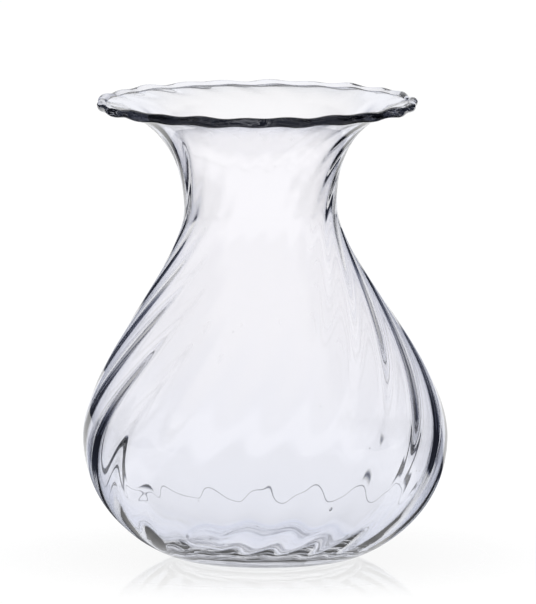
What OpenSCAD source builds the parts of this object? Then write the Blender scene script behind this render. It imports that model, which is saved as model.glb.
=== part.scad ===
// Swirl-ribbed glass vase with a flared, rippled lip.
// A bubble of clear glass is blown in a ribbed optic mould, twisted while it is soft, necked in
// and spun out into a wide lip. A thread of hot glass is then wound round the edge of the lip.
// Sizes are millimetres, up is +Z, and the vase stands on z = 0 with its belly round the Z axis.

/* [Foot] */
// Diameter of the flat foot, where the wall begins to rise
foot_d = 80; // [72:1:88]
// Diameter of the hollow in the underside, left where the rod was broken off and ground away
hollow_d = 54; // [40:1:62]
// Depth of that hollow
hollow_depth = 1.5; // [0.6:0.1:2.4]
// Glass over the edge of the foot, where the gather stayed thick
foot_wall = 6.4; // [4:0.1:8]
// Height of the inside floor at the middle of the foot
floor_h = 8.4; // [6:0.1:11]

/* [Belly] */
// Diameter of the belly at its widest
belly_d = 173.4; // [165:0.2:182]
// Height of the widest place
belly_h = 58; // [52:1:66]
// Wall of the belly between ribs and hollows
belly_wall = 2.6; // [2.2:0.1:4]

/* [Neck] */
// Diameter of the neck at its narrowest
neck_d = 72.8; // [66:0.2:80]
// Height of the narrowest place
neck_h = 168; // [160:1:174]
// Wall of the neck, where the glass thickened as it drew in
neck_wall = 4.2; // [2.8:0.1:5.2]

/* [Lip] */
// Diameter of the lip where the wound thread is laid on it
lip_d = 144; // [132:0.5:152]
// Height of the underside of the lip at that place
lip_h = 215.6; // [210:0.2:222]
// Wall of the lip at its edge
lip_wall = 2.4; // [2:0.1:3]
// Angle of the lip above level at its edge
lip_rise = 8; // [2:1:20]
// Sideways lean of the lip, as the hand-worked neck left it
lip_lean = 3.9; // [0:0.1:6]
// Height where the lean begins
lean_h = 93; // [80:1:110]

/* [Ribs] */
// Number of ribs from the optic mould
rib_count = 22; // [16:1:24]
// Angle of the ribs away from upright
rib_lean = 26; // [0:1:32]
// Swell of a rib on the outside, above and below the mean wall
rib_out = 0.2; // [0:0.05:0.5]
// Swell of a rib on the inside, where most of its glass lies
rib_in = 0.35; // [0:0.05:0.9]

/* [Lip wrap] */
// Thickness of the wound thread of glass
wrap_d = 4.6; // [4:0.1:5.5]
// Rise and fall of the rippled edge
ripple = 0.4; // [0:0.05:0.8]
// Swelling and thinning of the thread along its length
wrap_swell = 0.36; // [0:0.02:0.4]

/* [Hidden] */

// Places round the vase for each rib, and rings along each of the three stretches of the outline
places_per_rib = 5;
rings_per_span = [8, 7, 8];
hollow_rings = 2;
floor_rings = 3;
wrap_sides = 9;

// Pull of the outline's curves at each end, as shares of the stretch that they cross
foot_pull_share = 0.182;
foot_rise_share = 0.014;
belly_under_share = 0.703;
belly_over_share = 0.318;
neck_under_share = 0.242;
neck_over_share = 0.60;
lip_pull_share = 0.57;

// Strength of the ribs at shares of the lip's height: none on the flat foot, full over the belly,
// drawn thin in the neck and lost in the lip
rib_shares = [[0, 0], [0.04, 0.3], [0.21, 0.7], [0.35, 1], [0.47, 0.9], [0.6, 0.4], [0.78, 0.1],
    [0.93, 0.02], [1, 0]];
// Where the ripple of the edge begins, along the neck and lip stretch
ripple_start_share = 0.75;
// The end of each rib lifts the edge and thickens the thread. A slower wave on top of that keeps
// both from looking regular: its height and its count, as shares
slow_share = 0.6;
slow_count_share = 0.6;
slow_count = round(rib_count * slow_count_share);
slow_turn = 140;
swell_turn = 70;
// Thinning of the glass from the foot up to the belly, its thickening into the neck, and the
// curve of the lean
thinning_power = 2.4;
thickening_power = 1.6;
lean_power = 1.15;

foot_r = foot_d / 2;
hollow_r = hollow_d / 2;
belly_r = belly_d / 2;
neck_r = neck_d / 2;
lip_r = lip_d / 2;
wrap_r = wrap_d / 2;
places = rib_count * places_per_rib;

// The outline of the outside, as three curves of [radius, height]: foot to belly, belly to neck,
// neck to lip
foot_run = (belly_r - foot_r) * foot_pull_share;
lip_run = (lip_r - neck_r) * lip_pull_share;
spans = [
    [[foot_r, 0],
     [foot_r + foot_run, belly_h * foot_rise_share],
     [belly_r, belly_h * (1 - belly_under_share)],
     [belly_r, belly_h]],
    [[belly_r, belly_h],
     [belly_r, belly_h + (neck_h - belly_h) * belly_over_share],
     [neck_r, neck_h - (neck_h - belly_h) * neck_under_share],
     [neck_r, neck_h]],
    [[neck_r, neck_h],
     [neck_r, neck_h + (lip_h - neck_h) * neck_over_share],
     [lip_r - lip_run, lip_h - lip_run * tan(lip_rise)],
     [lip_r, lip_h]]
];

function blend(a, b, t) = a + (b - a) * t;
function ease(t) = let (u = min(max(t, 0), 1)) u * u * (3 - 2 * u);

function curve(p, t) = pow(1 - t, 3) * p[0] + 3 * pow(1 - t, 2) * t * p[1]
    + 3 * (1 - t) * t * t * p[2] + pow(t, 3) * p[3];
function curve_way(p, t) = pow(1 - t, 2) * (p[1] - p[0]) + 2 * (1 - t) * t * (p[2] - p[1])
    + t * t * (p[3] - p[2]);

// Stations are [stretch, share of that stretch], from the foot's edge up to the lip's edge
stations = concat(
    [for (span = [0 : 2]) for (k = [0 : rings_per_span[span] - 1]) [span, k / rings_per_span[span]]],
    [[2, 1]]
);
last = len(stations) - 1;

function outside(st) = curve(spans[st[0]], st[1]);
// Unit direction from the outside of the wall to the inside
function inward(st) = let (way = curve_way(spans[st[0]], st[1])) [-way[1], way[0]] / norm(way);

function wall(st) =
    st[0] == 0 ? blend(belly_wall, foot_wall, pow(1 - st[1], thinning_power)) :
    st[0] == 1 ? blend(belly_wall, neck_wall, pow(st[1], thickening_power)) :
    blend(neck_wall, lip_wall, st[1]);

function rib_strength(st) = lookup(outside(st)[1] / lip_h, rib_shares);

// The ribs lean by the same angle all the way up, so they turn faster where the vase is narrow
function turn_between(a, b) = let (pa = outside(a), pb = outside(b))
    tan(rib_lean) * norm(pb - pa) / ((pa[0] + pb[0]) / 2) * 180 / PI;
turns = [for (k = 0, t = 0; k <= last;
    t = t + (k < last ? turn_between(stations[k], stations[k + 1]) : 0), k = k + 1) t];

function rib_phase(j) = 360 * j / places_per_rib;
function angle(k, j) = turns[k] + 360 * j / places;

// The edge rises and falls with the ends of the ribs, and the lip follows it less and less inwards
function ripple_at(k, j) = ripple * (cos(rib_phase(j))
    + slow_share * sin(slow_count * angle(k, j) + slow_turn)) / (1 + slow_share);
function ripple_strength(st) =
    st[0] < 2 ? 0 : ease((st[1] - ripple_start_share) / (1 - ripple_start_share));

function lean_at(z) = -lip_lean * pow(max(z - lean_h, 0) / (lip_h - lean_h), lean_power);

// A point [radius, height] at an angle, as a point in space, with the lean of the neck
function place(rz, a) = [rz[0] * cos(a) + lean_at(rz[1]), rz[0] * sin(a), rz[1]];

// The two faces of the wall at station k and place j, as [radius, height]
function outer_rz(k, j) = let (st = stations[k])
    outside(st) - inward(st) * rib_out * rib_strength(st) * cos(rib_phase(j))
    + [0, ripple_at(k, j) * ripple_strength(st)];
function inner_rz(k, j) = let (st = stations[k])
    outside(st) + inward(st) * (wall(st) + rib_in * rib_strength(st) * cos(rib_phase(j)))
    + [0, ripple_at(k, j) * ripple_strength(st)];

// The dish of the inside floor, from the wall down to the middle of the foot
floor_edge = inner_rz(0, 0);
function floor_rz(share) = [floor_edge[0] * share, blend(floor_h, floor_edge[1], share * share)];
// The hollow of the underside, a shallow dome
function hollow_rz(share) = [hollow_r * share, hollow_depth * (1 - share * share)];

function around(rz, k) = [for (j = [0 : places - 1]) place(rz, angle(k, j))];

// Two triangles for each place round a band, from ring a to ring b; across picks the other diagonal
function band(a, b, across = false) = [for (j = [0 : places - 1])
    let (n = (j + 1) % places, aj = a * places + j, an = a * places + n,
         bj = b * places + j, bn = b * places + n)
    each across ? [[bj, an, aj], [bj, bn, an]] : [[bn, an, aj], [bj, bn, aj]]];

// The fan that closes a ring at a middle point
function fan(ring, middle, from_above) = [for (j = [0 : places - 1])
    let (n = (j + 1) % places, a = ring * places + j, b = ring * places + n)
    from_above ? [middle, b, a] : [middle, a, b]];

// The blown bubble: underside, outside up to the lip, over the edge, and down the inside
module blown_body() {
    rings = concat(
        [for (h = [1 : hollow_rings]) around(hollow_rz(h / hollow_rings), 0)],
        [for (k = [0 : last]) [for (j = [0 : places - 1]) place(outer_rz(k, j), angle(k, j))]],
        [for (k = [last : -1 : 0]) [for (j = [0 : places - 1]) place(inner_rz(k, j), angle(k, j))]],
        [for (f = [floor_rings - 1 : -1 : 1]) around(floor_rz(f / floor_rings), 0)]
    );
    points = concat([for (ring = rings) each ring], [[0, 0, hollow_depth], [0, 0, floor_h]]);
    top = len(rings) - 1;
    faces = concat(
        fan(0, len(points) - 2, false),
        [for (ring = [0 : top - 1]) each band(ring, ring + 1)],
        fan(top, len(points) - 1, true)
    );
    color([0.90, 0.92, 0.96, 0.45])
        polyhedron(points = points, faces = faces, convexity = 6);
}

// One place round the wound thread: an arc of glass that starts and ends on the two corners of
// the lip's edge, so that the thread seats on the whole edge
function wrap_arc(j) = let (
    low = outer_rz(last, j),
    high = inner_rz(last, j),
    up = (high - low) / norm(high - low),
    out = [up[1], -up[0]],
    half = norm(high - low) / 2,
    r = wrap_r + wrap_swell * (cos(rib_phase(j))
        + slow_share * sin(slow_count * angle(last, j) + swell_turn)) / (1 + slow_share),
    middle = (low + high) / 2 + out * sqrt(r * r - half * half),
    reach = 180 - asin(half / r)
) [for (side = [0 : wrap_sides - 1])
    let (a = blend(-reach, reach, side / (wrap_sides - 1)))
    middle + r * (cos(a) * out + sin(a) * up)];

// The thread of glass wound round the edge of the lip and melted down to a round bead
module lip_wrap() {
    arcs = [for (j = [0 : places - 1]) wrap_arc(j)];
    points = [for (side = [0 : wrap_sides - 1]) for (j = [0 : places - 1])
        place(arcs[j][side], angle(last, j))];
    faces = concat(
        [for (side = [0 : wrap_sides - 2]) each band(side, side + 1)],
        band(wrap_sides - 1, 0, true)
    );
    color([0.16, 0.17, 0.24, 0.8])
        polyhedron(points = points, faces = faces, convexity = 6);
}

blown_body();
lip_wrap();
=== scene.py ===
import math

import bpy
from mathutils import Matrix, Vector, noise


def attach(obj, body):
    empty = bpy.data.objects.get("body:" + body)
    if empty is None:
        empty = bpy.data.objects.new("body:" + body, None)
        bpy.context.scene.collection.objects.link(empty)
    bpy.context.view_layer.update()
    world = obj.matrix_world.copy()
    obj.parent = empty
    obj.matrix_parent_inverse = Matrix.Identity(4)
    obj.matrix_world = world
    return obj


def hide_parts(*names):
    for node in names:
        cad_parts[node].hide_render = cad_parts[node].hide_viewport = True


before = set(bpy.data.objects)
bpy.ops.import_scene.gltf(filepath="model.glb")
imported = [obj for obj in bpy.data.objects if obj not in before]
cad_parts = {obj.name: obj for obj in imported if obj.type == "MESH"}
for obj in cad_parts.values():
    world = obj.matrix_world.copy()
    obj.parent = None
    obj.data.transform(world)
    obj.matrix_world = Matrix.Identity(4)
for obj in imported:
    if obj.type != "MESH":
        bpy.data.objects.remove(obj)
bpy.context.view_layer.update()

# The blown body. One bubble of clear soda glass, blown in a ribbed optic mould, twisted while it
# was soft, necked in on the jacks and spun out into a wide lip. The ribs are swells of the wall,
# most of them on the inside, and the foot is ground flat round a shallow hollow.

foot_radius = 0.040
hollow_radius = 0.027
hollow_depth = 0.0015
foot_wall = 0.0064
floor_height = 0.0084
belly_radius = 0.08667
belly_height = 0.058
belly_wall = 0.0026
neck_radius = 0.0364
neck_height = 0.168
neck_wall = 0.0042
lip_radius = 0.072
lip_height = 0.2156
lip_wall = 0.0024
lip_rise = math.radians(8)
lip_lean = 0.0039
lean_height = 0.093
lean_power = 1.15
rib_count = 22
rib_lean = math.radians(26)
rib_out = 0.0002
rib_in = 0.00035

# Pull of the outline's curves at each end, as shares of the stretch that they cross
foot_pull_share = 0.182
foot_rise_share = 0.014
belly_under_share = 0.297
belly_over_share = 0.318
neck_under_share = 0.242
neck_over_share = 0.60
lip_pull_share = 0.57
thinning_power = 2.4
thickening_power = 1.6

# Strength of the ribs at shares of the lip's height: weak over the foot, full on the upper belly,
# and a trace of them up through the neck
rib_shares = [
    (0, 0), (0.04, 0.38), (0.12, 0.22), (0.2, 0.45), (0.3, 0.9), (0.35, 1),
    (0.47, 0.9), (0.6, 0.45), (0.78, 0.25), (0.93, 0.25), (1, 0),
]

# The edge of the lip rises where a rib ends, with a slower wave on top of that
ripple = 0.0004
ripple_start = 0.75
slow_share = 0.6
slow_count = 13
slow_turn = math.radians(140)

# The inside of the foot set a little uneven
unrest = 0.0001
unrest_scale = 90
unrest_top = 0.03
unrest_fade = 0.02

places_per_rib = 20
rings_per_stretch = (50, 46, 50)
hollow_rings = 8
ground_ring_shares = (0.3, 0.7)
floor_rings = 14

foot_run = (belly_radius - foot_radius) * foot_pull_share
lip_run = (lip_radius - neck_radius) * lip_pull_share
rise_to_neck = neck_height - belly_height
rise_to_lip = lip_height - neck_height
outline = [
    (
        (foot_radius, 0),
        (foot_radius + foot_run, belly_height * foot_rise_share),
        (belly_radius, belly_height * belly_under_share),
        (belly_radius, belly_height),
    ),
    (
        (belly_radius, belly_height),
        (belly_radius, belly_height + rise_to_neck * belly_over_share),
        (neck_radius, neck_height - rise_to_neck * neck_under_share),
        (neck_radius, neck_height),
    ),
    (
        (neck_radius, neck_height),
        (neck_radius, neck_height + rise_to_lip * neck_over_share),
        (lip_radius - lip_run, lip_height - lip_run * math.tan(lip_rise)),
        (lip_radius, lip_height),
    ),
]


def blend(a, b, t):
    return a + (b - a) * t


def ease(t):
    t = min(max(t, 0), 1)
    return t * t * (3 - 2 * t)


def rib_strength(share):
    for (x0, y0), (x1, y1) in zip(rib_shares, rib_shares[1:]):
        if share <= x1:
            return blend(y0, y1, (share - x0) / (x1 - x0))
    return rib_shares[-1][1]


def on_outline(stretch, t):
    """Point of the outside, and the unit direction from there into the glass."""
    a, b, c, d = outline[stretch]
    s = 1 - t
    point = [s ** 3 * a[i] + 3 * s * s * t * b[i] + 3 * s * t * t * c[i] + t ** 3 * d[i] for i in (0, 1)]
    way = [s * s * (b[i] - a[i]) + 2 * s * t * (c[i] - b[i]) + t * t * (d[i] - c[i]) for i in (0, 1)]
    size = math.hypot(*way)
    return point, (-way[1] / size, way[0] / size)


def wall_at(stretch, t):
    """Thickness of the wall from foot to belly, belly to neck, and neck to lip."""
    if stretch == 0:
        return blend(belly_wall, foot_wall, (1 - t) ** thinning_power)
    if stretch == 1:
        return blend(belly_wall, neck_wall, t ** thickening_power)
    return blend(neck_wall, lip_wall, t)


def place(radius, height, angle):
    """A point of the vase in space, with the sideways lean of its neck."""
    lean = lip_lean * (max(height - lean_height, 0) / (lip_height - lean_height)) ** lean_power
    return (radius * math.cos(angle) - lean, radius * math.sin(angle), height)


places = rib_count * places_per_rib
step = 2 * math.pi / places
stations = [(s, k / count) for s, count in enumerate(rings_per_stretch) for k in range(count)]
stations.append((2, 1.0))
turn = 0.0
previous = None
outer_rings, inner_rings = [], []
for stretch, t in stations:
    (radius, height), (inward_r, inward_z) = on_outline(stretch, t)
    if previous:
        way = math.hypot(radius - previous[0], height - previous[1])
        turn += math.tan(rib_lean) * way * 2 / (radius + previous[0])
    previous = (radius, height)
    strength = rib_strength(height / lip_height)
    lift = ease((t - ripple_start) / (1 - ripple_start)) if stretch == 2 else 0
    wall = wall_at(stretch, t)
    uneven = unrest * ease((unrest_top - height) / unrest_fade)
    outer, inner = [], []
    for j in range(places):
        angle = turn + step * j
        swell = math.cos(rib_count * step * j)
        wave = slow_share * math.sin(slow_count * angle + slow_turn)
        rise = ripple * (swell + wave) / (1 + slow_share) * lift
        grow = rib_out * strength * swell
        outer.append((radius - inward_r * grow, height - inward_z * grow + rise))
        spot = Vector((math.cos(angle) * radius, math.sin(angle) * radius, height))
        deep = wall + rib_in * strength * swell + uneven * noise.noise(spot * unrest_scale)
        inner.append((radius + inward_r * deep, height + inward_z * deep + rise))
    outer_rings.append((turn, outer))
    inner_rings.append((turn, inner))


def ring_points(turn, ring):
    return [place(radius, height, turn + step * j) for j, (radius, height) in enumerate(ring)]


def bands(first, last):
    """Quads that join ring first to first + 1, and so on up to ring last."""
    quads = []
    for ring in range(first, last):
        low, high = ring * places, (ring + 1) * places
        for j in range(places):
            n = (j + 1) % places
            quads.append((low + j, low + n, high + n, high + j))
    return quads


def smooth_mesh(name, points, faces):
    mesh = bpy.data.meshes.new(name)
    mesh.from_pydata(points, [], faces)
    mesh.shade_smooth()
    mesh.update()
    piece = bpy.data.objects.new(name, mesh)
    bpy.context.scene.collection.objects.link(piece)
    return piece


# The underside is a shallow dome and a ground ring, the inside floor a shallow dish. The edge of
# the lip stays open, because the bead is melted to it there and no surface parts the two.
points = []
for ring in range(1, hollow_rings + 1):
    share = ring / hollow_rings
    points += ring_points(0, [(hollow_radius * share, hollow_depth * (1 - share * share))] * places)
for share in ground_ring_shares:
    points += ring_points(0, [(blend(hollow_radius, foot_radius, share), 0)] * places)
for turn, ring in outer_rings:
    points += ring_points(turn, ring)
outside_last = len(points) // places - 1
for turn, ring in reversed(inner_rings):
    points += ring_points(turn, ring)
edge_radius, edge_height = inner_rings[0][1][0]
for ring in range(floor_rings - 1, 0, -1):
    share = ring / floor_rings
    height = blend(floor_height, edge_height, share * share)
    uneven = unrest * 2 * ease(4 - 4 * share)
    dish = []
    for j in range(places):
        spot = Vector((math.cos(step * j), math.sin(step * j), 0)) * edge_radius * share
        dish.append((edge_radius * share, height + uneven * noise.noise(spot * unrest_scale)))
    points += ring_points(0, dish)
inside_last = len(points) // places - 1
faces = bands(0, outside_last) + bands(outside_last + 1, inside_last)
points += [(0, 0, hollow_depth), (0, 0, floor_height)]
top = inside_last * places
for j in range(places):
    n = (j + 1) % places
    faces.append((len(points) - 2, n, j))
    faces.append((len(points) - 1, top + j, top + n))
body = smooth_mesh("vase_body", points, faces)


def node(tree, kind, links=None, **settings):
    """A node with its settings, and its inputs set or joined by number."""
    made = tree.nodes.new(kind)
    for name, value in settings.items():
        setattr(made, name, value)
    for number, value in (links or {}).items():
        if isinstance(value, bpy.types.NodeSocket):
            tree.links.new(value, made.inputs[number])
        else:
            made.inputs[number].default_value = value
    return made


def mixed(tree, share, first, second):
    """The first colour, and more of the second as the share goes to one."""
    links = {0: share, 6: first, 7: second}
    return node(tree, "ShaderNodeMix", links, data_type="RGBA").outputs[2]


def slope(tree, value, x0, x1, y0, y1):
    """Goes smoothly from y0 to y1 as the value goes from x0 to x1."""
    links = {0: value, 1: x0, 2: x1, 3: y0, 4: y1}
    return node(tree, "ShaderNodeMapRange", links, interpolation_type="SMOOTHSTEP").outputs[0]


# The faint cool tint of the glass, set the same way in the body and in the bead. The colour is darker
# towards the bottom, and darkest where the wall is seen edge on. That edge darkening is partly the longer
# path through the glass and partly painted shade, standing in for the dark lines that dark surroundings
# make along the edges.
darkening_height = 0.13
tint_and_shade_group = bpy.data.node_groups.new("glass_tint_and_shade", "ShaderNodeTree")
for name in ("Upper", "Lower", "Edge"):
    tint_and_shade_group.interface.new_socket(name, in_out="INPUT", socket_type="NodeSocketColor")
tint_and_shade_group.interface.new_socket("Edge on", in_out="INPUT", socket_type="NodeSocketFloat")
tint_and_shade_group.interface.new_socket("Colour", in_out="OUTPUT", socket_type="NodeSocketColor")
group_in = node(tint_and_shade_group, "NodeGroupInput").outputs
where = node(tint_and_shade_group, "ShaderNodeTexCoord").outputs["Object"]
height_here = node(tint_and_shade_group, "ShaderNodeSeparateXYZ", {0: where}).outputs[2]
lower = slope(tint_and_shade_group, height_here, 0.0, darkening_height, 1, 0)
level = mixed(tint_and_shade_group, lower, group_in["Upper"], group_in["Lower"])
# Painted shade: the colour goes towards the dark edge colour where the wall is seen edge on
edge_shade_share = slope(tint_and_shade_group, group_in["Edge on"], 0.45, 1.0, 0, 1)
node(tint_and_shade_group, "NodeGroupOutput", {0: mixed(tint_and_shade_group, edge_shade_share, level, group_in["Edge"])})


def blown_glass(name, upper, lower, edge):
    """Fire-polished clear glass with its cool tint, and painted shade where it is seen edge on."""
    material = bpy.data.materials.new(name)
    material.use_nodes = True
    tree = material.node_tree
    shader = tree.nodes["Principled BSDF"]
    facing = node(tree, "ShaderNodeLayerWeight", {0: 0.5}).outputs["Facing"]
    tint_and_shade = node(tree, "ShaderNodeGroup", node_tree=tint_and_shade_group)
    for label, colour in (("Upper", upper), ("Lower", lower), ("Edge", edge)):
        tint_and_shade.inputs[label].default_value = (*colour, 1)
    tree.links.new(facing, tint_and_shade.inputs["Edge on"])
    tree.links.new(tint_and_shade.outputs["Colour"], shader.inputs["Base Color"])
    shader.inputs["Roughness"].default_value = 0.0
    shader.inputs["IOR"].default_value = 1.5
    shader.inputs["Transmission Weight"].default_value = 1.0
    return material


# The body's edge colour is painted shade for its dark edge lines, partly standing for the longer path
# through the glass
clear_glass = blown_glass("clear_glass", (0.965, 0.96, 0.98), (0.895, 0.905, 0.95), (0.66, 0.71, 0.88))
body.data.materials.append(clear_glass)
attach(body, "root")
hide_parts("blown_body")

# Seed bubbles. A few specks of air were caught in the gather and drawn out along the twist, so they
# lie inside the wall as tiny polished hollows.

# Stretch of the outline, share of it, degrees round the vase, share of the wall's depth, radius
seeds = [
    (0, 0.76, -67.3, 0.5, 0.0006),
    (1, 0.035, -54.8, 0.4, 0.00022),
    (0, 0.55, -112, 0.55, 0.0003),
    (0, 0.66, -93, 0.6, 0.0002),
    (1, 0.22, -71, 0.5, 0.0002),
    (1, 0.5, -104, 0.45, 0.00022),
    (0, 0.8, 35, 0.5, 0.0003),
    (0, 0.5, 120, 0.55, 0.00035),
    (1, 0.35, 160, 0.5, 0.00025),
    (2, 0.2, 80, 0.5, 0.0003),
]
seed_drawn_out = 0.8
seed_sides = 10
seed_rings = 8

points, faces = [], []
for stretch, t, degrees_round, depth_share, seed_radius in seeds:
    (radius, height), (inward_r, inward_z) = on_outline(stretch, t)
    deep = wall_at(stretch, t) * depth_share
    angle = math.radians(degrees_round)
    centre = Vector(place(radius + inward_r * deep, height + inward_z * deep, angle))
    up_wall = Vector((inward_z * math.cos(angle), inward_z * math.sin(angle), -inward_r))
    round_wall = Vector((-math.sin(angle), math.cos(angle), 0))
    along = (up_wall * math.cos(rib_lean) + round_wall * math.sin(rib_lean)).normalized()
    first = len(points)
    for ring in range(seed_rings + 1):
        tilt = math.pi * ring / seed_rings
        for side in range(seed_sides):
            a = 2 * math.pi * side / seed_sides
            spot = Vector((math.sin(tilt) * math.cos(a), math.sin(tilt) * math.sin(a), math.cos(tilt)))
            spot = spot * seed_radius
            points.append(centre + spot + along * spot.dot(along) * seed_drawn_out)
    for ring in range(seed_rings):
        low, high = first + ring * seed_sides, first + (ring + 1) * seed_sides
        for side in range(seed_sides):
            n = (side + 1) % seed_sides
            faces.append((low + side, low + n, high + n, high + side))
bubbles = smooth_mesh("seed_bubbles", points, faces)
bubbles.data.materials.append(clear_glass)
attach(bubbles, "root")

# The lip wrap. A thread of hot glass wound once round the edge of the lip and melted down to a
# round bead. It swells beside the end of each rib, and it is fused to the whole edge of the lip.

wrap_radius = 0.0023
wrap_swell = 0.00036
wrap_swell_turn = math.radians(70)
wrap_sides = 21
dimple_size = 300
dimple_depth = 0.0001

points = []
turn, low_edge = outer_rings[-1]
high_edge = inner_rings[-1][1]
arcs = []
for j in range(places):
    low, high = low_edge[j], high_edge[j]
    width = math.hypot(high[0] - low[0], high[1] - low[1])
    up = ((high[0] - low[0]) / width, (high[1] - low[1]) / width)
    out = (up[1], -up[0])
    wave = slow_share * math.sin(slow_count * (turn + step * j) + wrap_swell_turn)
    radius = wrap_radius + wrap_swell * (math.sin(rib_count * step * j) + wave) / (1 + slow_share)
    stand = math.sqrt(radius ** 2 - (width / 2) ** 2)
    middle = [(low[i] + high[i]) / 2 + out[i] * stand for i in (0, 1)]
    reach = math.pi - math.asin(width / 2 / radius)
    arc = []
    for side in range(wrap_sides):
        a = blend(-reach, reach, side / (wrap_sides - 1))
        arc.append([middle[i] + radius * (math.cos(a) * out[i] + math.sin(a) * up[i]) for i in (0, 1)])
    arcs.append(arc)
for side in range(wrap_sides):
    points += ring_points(turn, [arc[side] for arc in arcs])
wrap = smooth_mesh("rippled_bead", points, bands(0, wrap_sides - 1))

# The thread cooled with fine dimples. Its dark edge colour is painted shade that turns the bead near black
# where it is seen edge on, and its low bluish specular tint keeps its reflections dark, also painted
# shade.
wrap_glass = blown_glass("wrap_glass", (0.9, 0.905, 0.95), (0.9, 0.905, 0.95), (0.25, 0.28, 0.42))
tree = wrap_glass.node_tree
shader = tree.nodes["Principled BSDF"]
where = node(tree, "ShaderNodeTexCoord").outputs["Object"]
stretched = node(tree, "ShaderNodeMapping", {0: where, 3: (1, 1, 0.45)}).outputs[0]
dimples = node(tree, "ShaderNodeTexNoise", {0: stretched}, noise_dimensions="3D")
dimples.inputs["Scale"].default_value = dimple_size
dimples.inputs["Detail"].default_value = 1.0
bump = node(tree, "ShaderNodeBump")
bump.inputs["Strength"].default_value = 1.0
bump.inputs["Distance"].default_value = dimple_depth
tree.links.new(dimples.outputs[0], bump.inputs["Height"])
tree.links.new(bump.outputs["Normal"], shader.inputs["Normal"])
# Painted shade: the low specular tint darkens the bead's reflections
shader.inputs["Specular Tint"].default_value = (0.3, 0.33, 0.5, 1)
wrap.data.materials.append(wrap_glass)
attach(wrap, "root")
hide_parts("lip_wrap")

# The white table that the vase stands on, pale and faintly polished. Through the glass a thin dark line of
# painted shade shows where a round table edge would be. The camera sees it white, and light that came by
# way of the glass is graded by its path, as dark cards beside a photographer's table would grade it; this
# grading is painted shade in the table's glow.

edge_line_radius = 0.16
line_width = 0.003
edge_line_shade = 0.7
table_size = 6.0
table_drop = -0.0002
table_colour = 0.05
table_glow = 0.98
table_roughness = 0.5
polish_roughness = 0.02
polish_share = 0.26


def math_node(tree, operation, *values):
    return node(tree, "ShaderNodeMath", dict(enumerate(values)), operation=operation).outputs[0]


def times(tree, first, second):
    return math_node(tree, "MULTIPLY", first, second)


def less(tree, white, dark):
    """White with a share of dark taken out of it."""
    return math_node(tree, "SUBTRACT", white, dark)


def band(tree, value, rise, fall):
    """One between two slopes, and nothing outside them."""
    return times(tree, slope(tree, value, *rise, 0, 1), slope(tree, value, *fall, 1, 0))


# Four kinds of path are told apart: straight through the glass, mirrored off its outside, mirrored once or
# twice inside the wall, and guided along inside it by more mirrorings. Each has its own brightness, and
# the dim ones turn navy, as the thick glass does. In the world this grading is its light; in the table's
# glow it is painted shade.
path_group = bpy.data.node_groups.new("seen_by_path", "ShaderNodeTree")
for name in ("Camera", "Scattered", "Mirrored", "Through", "Clear", "Reflected", "Inside", "Guided"):
    path_group.interface.new_socket(name, in_out="INPUT", socket_type="NodeSocketFloat")
path_group.interface.new_socket("Value", in_out="OUTPUT", socket_type="NodeSocketFloat")
path_group.interface.new_socket("Colour", in_out="OUTPUT", socket_type="NodeSocketColor")
group_in = node(path_group, "NodeGroupInput").outputs
was_mirrored = math_node(path_group, "MINIMUM", group_in["Mirrored"], 1.0)
was_through = math_node(path_group, "MINIMUM", group_in["Through"], 1.0)
was_guided = math_node(path_group, "GREATER_THAN", group_in["Mirrored"], 2.5)
shares = (
    ("Clear", less(path_group, 1.0, was_mirrored)),
    ("Reflected", times(path_group, was_mirrored, less(path_group, 1.0, was_through))),
    ("Inside", times(path_group, less(path_group, was_mirrored, was_guided), was_through)),
    ("Guided", times(path_group, was_guided, was_through)),
)
was_scattered = math_node(path_group, "MINIMUM", group_in["Scattered"], 1.0)
plain_white = math_node(path_group, "MAXIMUM", group_in["Camera"], was_scattered)
graded = 0.0
for name, share in shares:
    graded = math_node(path_group, "ADD", graded, times(path_group, group_in[name], share))
seen = math_node(path_group, "MAXIMUM", plain_white, graded)
brighter = slope(path_group, seen, 0.0, 0.6, 0, 1)
tinted = mixed(path_group, brighter, (0.6, 0.68, 1.0, 1), (1, 1, 1, 1))
node(path_group, "NodeGroupOutput", {0: seen, 1: tinted})


def seen_by_path(tree, **values):
    """The light of one place, set apart by the way it took to the eye."""
    paths = node(tree, "ShaderNodeLightPath").outputs
    values.update(
        camera=paths["Is Camera Ray"],
        scattered=paths["Diffuse Depth"],
        mirrored=paths["Glossy Depth"],
        through=paths["Transmission Depth"],
    )
    group = node(tree, "ShaderNodeGroup", node_tree=path_group)
    for name, value in values.items():
        socket = group.inputs[name.capitalize()]
        if isinstance(value, bpy.types.NodeSocket):
            tree.links.new(value, socket)
        else:
            socket.default_value = value
    return group.outputs["Value"], group.outputs["Colour"], paths


def degrees_from_back(tree, across, behind):
    turned = math_node(tree, "ABSOLUTE", math_node(tree, "ARCTAN2", across, behind))
    return times(tree, turned, 180 / math.pi)


def behind_cards(tree, degrees):
    """Where the dark cards stand on each side, a narrow one behind the vase and a wide one."""
    narrow = band(tree, degrees, (22, 24), (29, 31))
    wide = band(tree, degrees, (37, 40), (110, 130))
    return math_node(tree, "ADD", narrow, wide)


corner = table_size / 2
floor_mesh = bpy.data.meshes.new("white_table")
corners = [(x * corner, y * corner, table_drop) for x, y in ((-1, -1), (1, -1), (1, 1), (-1, 1))]
floor_mesh.from_pydata(corners, [], [(0, 1, 2, 3)])
floor = bpy.data.objects.new("white_table", floor_mesh)
bpy.context.scene.collection.objects.link(floor)

table_white = bpy.data.materials.new("table_white")
table_white.use_nodes = True
tree = table_white.node_tree
spot = node(tree, "ShaderNodeNewGeometry").outputs["Position"]
across, behind, _ = node(tree, "ShaderNodeSeparateXYZ", {0: spot}).outputs
away = node(tree, "ShaderNodeVectorMath", {0: spot}, operation="LENGTH").outputs["Value"]
degrees = degrees_from_back(tree, across, behind)

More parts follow.
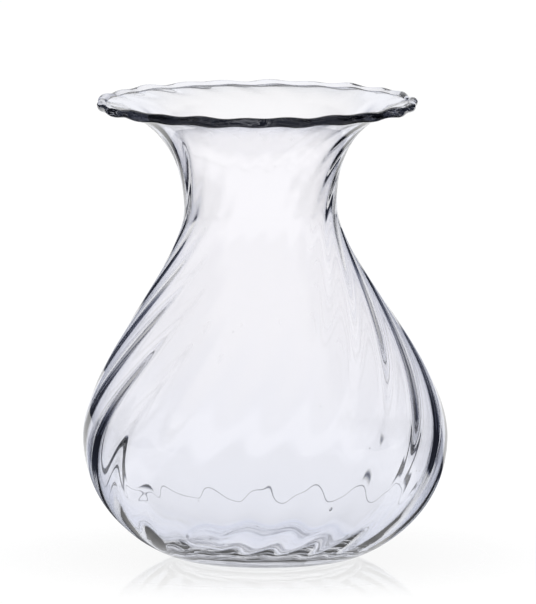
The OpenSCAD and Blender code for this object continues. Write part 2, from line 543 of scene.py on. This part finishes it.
# Painted shade seen through the glass: a thin dark line where a round table edge would be, and dark
# patches where the feet of dark cards would stand
off_edge = math_node(tree, "ABSOLUTE", less(tree, away, edge_line_radius))
# Painted shade: a thin dark line in the table's glow at the edge line's radius
painted_edge_line = slope(tree, off_edge, 0.0, line_width, edge_line_shade, 0)
card_foot_shade = times(tree, band(tree, degrees, (20, 22), (27, 29)), band(tree, away, (0.17, 0.2), (0.6, 0.8)))
# Painted shade: dark patches where cards beside the vase would show after mirrorings inside the wall
beside = times(tree, behind_cards(tree, degrees), slope(tree, away, 0.2, 0.3, 0, 0.92))

# Painted reflection of dark cards mirrored off the outside of the glass: it starts nearer to the back
# close by than further off
start = slope(tree, away, 0.2, 0.27, 10, 34)
past_start = slope(tree, less(tree, degrees, start), -3, 3, 0, 1)
sides = times(tree, past_start, slope(tree, degrees, 75, 95, 0.9, 0))
# Painted shade: the table's glow is graded darker by path, and guided light is dark beyond the painted
# edge line
white, tint, paths = seen_by_path(
    tree,
    clear=less(tree, 1.0, math_node(tree, "MAXIMUM", painted_edge_line, card_foot_shade)),
    reflected=less(tree, 0.95, sides),
    inside=less(tree, 0.95, beside),
    guided=slope(tree, away, 0.16, 0.2, 0.8, 0.015),
)
shader = tree.nodes["Principled BSDF"]
dim = times(tree, white, table_colour)
grey = node(tree, "ShaderNodeCombineColor", {0: dim, 1: dim, 2: dim}).outputs[0]
tree.links.new(grey, shader.inputs["Base Color"])
# The glow carries that painted shade
tree.links.new(times(tree, white, table_glow), shader.inputs["Emission Strength"])
tree.links.new(tint, shader.inputs["Emission Color"])
shader.inputs["Roughness"].default_value = table_roughness
shader.inputs["Specular IOR Level"].default_value = 0.0

# The polish mirrors the vase near its foot, where it is seen without glass in between
polish = node(tree, "ShaderNodeBsdfGlossy")
polish.inputs["Roughness"].default_value = polish_roughness
plainly = less(tree, 1.0, math_node(tree, "MINIMUM", paths["Transmission Depth"], 1.0))
shine = times(tree, plainly, slope(tree, away, 0.05, 0.18, polish_share, 0))
polished = node(tree, "ShaderNodeMixShader", {0: shine, 1: shader.outputs[0], 2: polish.outputs[0]})
tree.links.new(polished.outputs[0], tree.nodes["Material Output"].inputs["Surface"])
floor_mesh.materials.append(table_white)

# The white studio round the vase: a pale backdrop and soft light from all sides, with a dark
# ceiling and dark cards at the sides that only show as lines inside the glass.

strip_starts = range(8, 150, 22)
strip_width = 10
strip_blur = 2
strip_light = 0.12

studio = bpy.data.worlds.new("white_studio")
bpy.context.scene.world = studio
studio.use_nodes = True
tree = studio.node_tree
looking = node(tree, "ShaderNodeTexCoord").outputs["Generated"]
east, north, up = node(tree, "ShaderNodeSeparateXYZ", {0: looking}).outputs
degrees = degrees_from_back(tree, east, north)
raised = times(tree, math_node(tree, "ARCSINE", up), 180 / math.pi)
under_ceiling = slope(tree, raised, 25, 35, 1, 0)
beside = times(tree, behind_cards(tree, degrees), slope(tree, raised, 2, 5, 0.92, 0))

# Mirrored off the outside, the cards are a long low one and a tall one on each side
low_card = times(tree, band(tree, degrees, (8, 14), (75, 95)), slope(tree, raised, 10, 25, 0.9, 0))
tall_card = times(tree, band(tree, degrees, (30, 40), (110, 130)), slope(tree, raised, 45, 65, 0.8, 0))
sides = math_node(tree, "MAXIMUM", low_card, tall_card)

# Guided light comes from above the backdrop, and faintly from strips of light round the studio
strips = 0.0
for start in strip_starts:
    end = start + strip_width
    strip = band(tree, degrees, (start, start + strip_blur), (end - strip_blur, end))
    strips = math_node(tree, "ADD", strips, times(tree, strip, strip_light))
from_behind = times(tree, slope(tree, raised, 3, 16, 0.015, 0.5), slope(tree, degrees, 60, 90, 1, 0.1))
white, tint, _ = seen_by_path(
    tree,
    clear=under_ceiling,
    reflected=less(tree, 0.95, sides),
    inside=times(tree, less(tree, 0.95, beside), under_ceiling),
    guided=math_node(tree, "ADD", from_behind, strips),
)
tree.links.new(white, tree.nodes["Background"].inputs["Strength"])
tree.links.new(tint, tree.nodes["Background"].inputs["Color"])

# The camera stands where the photograph's did: far off, a little above the vase, looking along +Y.
# The foot and the middle of the belly keep the row and the column that they have in the photograph.

photo_width, photo_height = 536, 604
belly_column, foot_row = 265.3, 556
pixel = 0.0004765
elevation = math.radians(7.6)
distance = 10.0
aside = (photo_width / 2 - belly_column) * pixel
above = (foot_row - photo_height / 2) * pixel
camera_data = bpy.data.cameras.new("camera")
camera = bpy.data.objects.new("camera", camera_data)
bpy.context.scene.collection.objects.link(camera)
camera_data.sensor_fit = "VERTICAL"
camera_data.sensor_height = 24
camera_data.lens = camera_data.sensor_height * distance / (photo_height * pixel)
camera_data.clip_end = 100
camera.location = (
    aside,
    above * math.sin(elevation) - distance * math.cos(elevation),
    above * math.cos(elevation) + distance * math.sin(elevation),
)
camera.rotation_euler = (math.pi / 2 - elevation, 0, 0)
scene = bpy.context.scene
scene.camera = camera
scene.view_settings.view_transform = "Standard"
scene.cycles.max_bounces = 24
scene.cycles.transmission_bounces = 24
scene.cycles.glossy_bounces = 16
